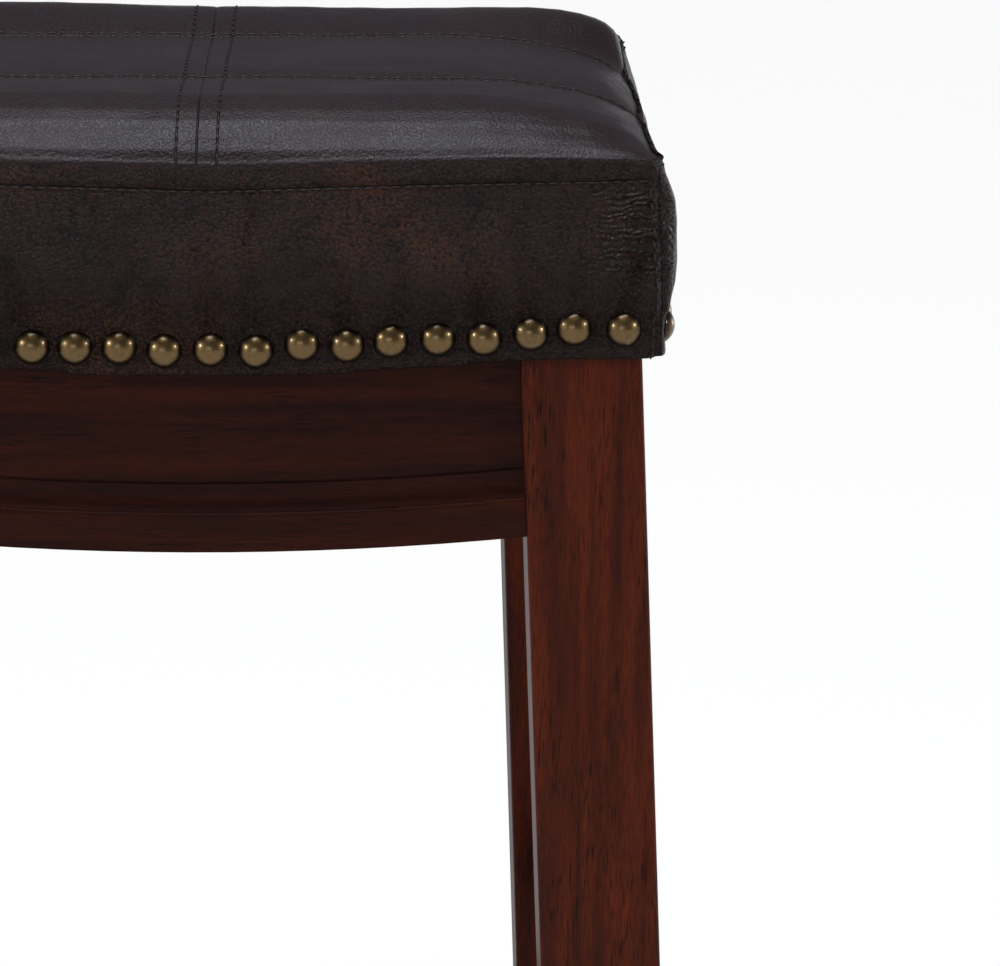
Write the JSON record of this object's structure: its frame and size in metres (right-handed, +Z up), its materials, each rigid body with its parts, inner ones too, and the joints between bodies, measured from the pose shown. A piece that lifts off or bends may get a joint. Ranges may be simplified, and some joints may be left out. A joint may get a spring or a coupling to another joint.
{
  "type": "counter stool",
  "caption": "Backless counter stool with a sewn leather saddle cushion, dome nail trim and a splayed dark wooden frame with moulded aprons and stretchers.",
  "frame": {"origin": "on the floor, under the middle of the seat", "axes": "+Z up, +X along the seat's length to the right as seen from the front, +Y towards the back"},
  "size_m": [0.472, 0.3236, 0.612],
  "materials": {
    "cover_leather": "semi-gloss, creased, dark brown nearly black",
    "foam": "open-cell upholstery foam",
    "seat_plywood": "raw plywood",
    "dust_cloth": "black non-woven cloth",
    "nail_brass": "antiqued, satin",
    "frame_wood": "dark espresso stain under satin lacquer",
    "block_wood": "raw",
    "fastening_steel": "zinc plated",
    "glide_plastic": "matt black"
  },
  "bodies": {
    "root": {"top_patch_front_left": "cover_leather", "top_patch_front_right": "cover_leather", "top_patch_middle_left": "cover_leather", "top_patch_middle_right": "cover_leather", "top_patch_back_left": "cover_leather", "top_patch_back_right": "cover_leather", "boxing_front": "cover_leather", "boxing_back": "cover_leather", "boxing_left": "cover_leather", "boxing_right": "cover_leather", "seat_foam": "foam", "seat_board": "seat_plywood", "dust_cover": "dust_cloth", "nails_front": "nail_brass", "nails_back": "nail_brass", "nails_left": "nail_brass", "nails_right": "nail_brass", "leg_front_left": "frame_wood", "leg_front_right": "frame_wood", "leg_back_left": "frame_wood", "leg_back_right": "frame_wood", "apron_front": "frame_wood", "apron_back": "frame_wood", "apron_left": "frame_wood", "apron_right": "frame_wood", "stretcher_front": "frame_wood", "stretcher_back": "frame_wood", "stretcher_left": "frame_wood", "stretcher_right": "frame_wood", "corner_block_front_left": "block_wood", "corner_block_front_right": "block_wood", "corner_block_back_left": "block_wood", "corner_block_back_right": "block_wood", "corner_bolts": "fastening_steel", "seat_screws": "fastening_steel", "glide_front_left": "glide_plastic", "glide_front_right": "glide_plastic", "glide_back_left": "glide_plastic", "glide_back_right": "glide_plastic"}
  },
  "joints": []
}
